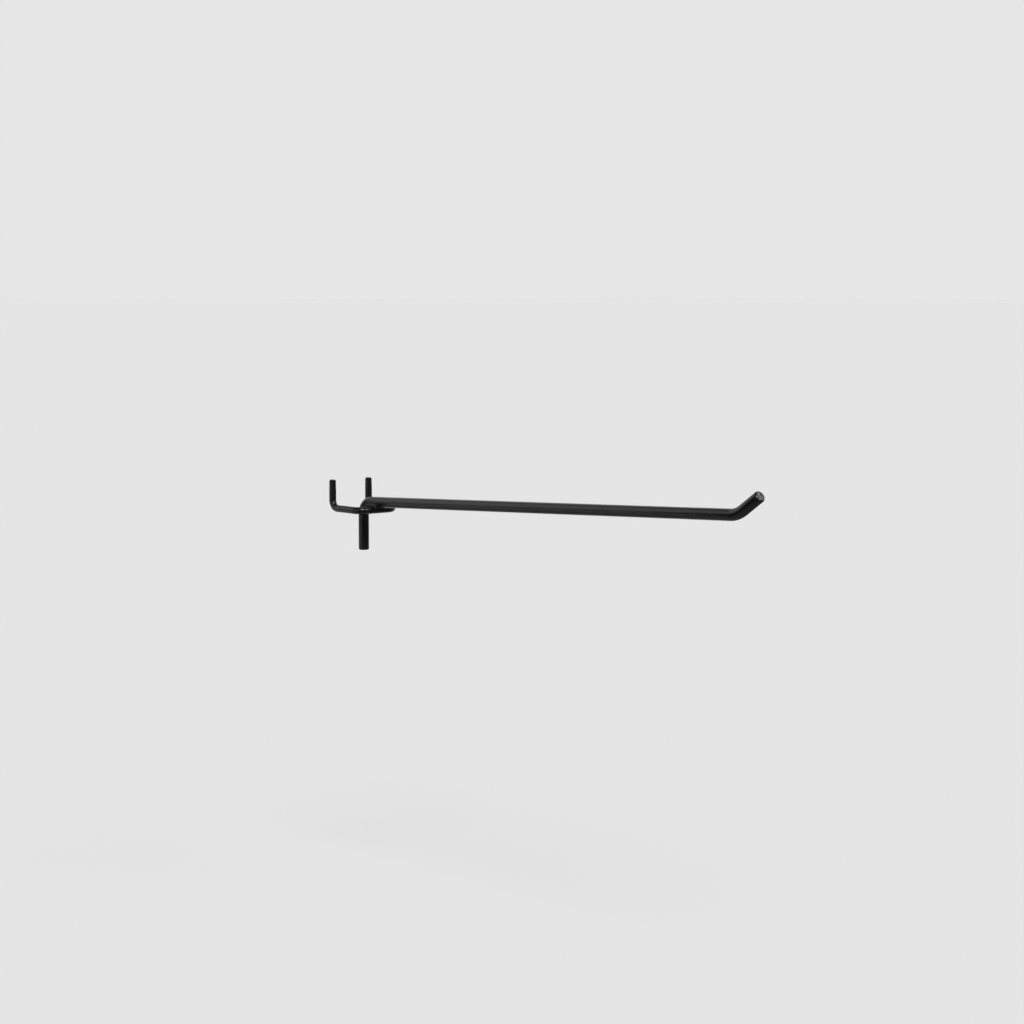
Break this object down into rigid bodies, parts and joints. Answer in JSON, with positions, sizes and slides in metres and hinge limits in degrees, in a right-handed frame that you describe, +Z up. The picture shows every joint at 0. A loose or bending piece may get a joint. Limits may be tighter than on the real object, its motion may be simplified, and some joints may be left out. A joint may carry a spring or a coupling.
{
  "type": "pegboard hook",
  "caption": "Wire display hook: a long arm with a raised tip and a heel leg, welded on a wire staple whose prongs hook into pegboard holes.",
  "frame": {"origin": "on the front face of the panel that carries the hook, midway between the prongs, at the height of the prongs' axes", "axes": "+Z up, +Y into the panel, the arm runs out along -Y, +X to the right as seen from the front"},
  "size_m": [0.0294, 0.3185, 0.0524],
  "materials": {
    "black_coating": "satin black powder coating on steel wire"
  },
  "bodies": {
    "root": {"hook_arm": "black_coating", "prong_staple": "black_coating"}
  },
  "joints": []
}
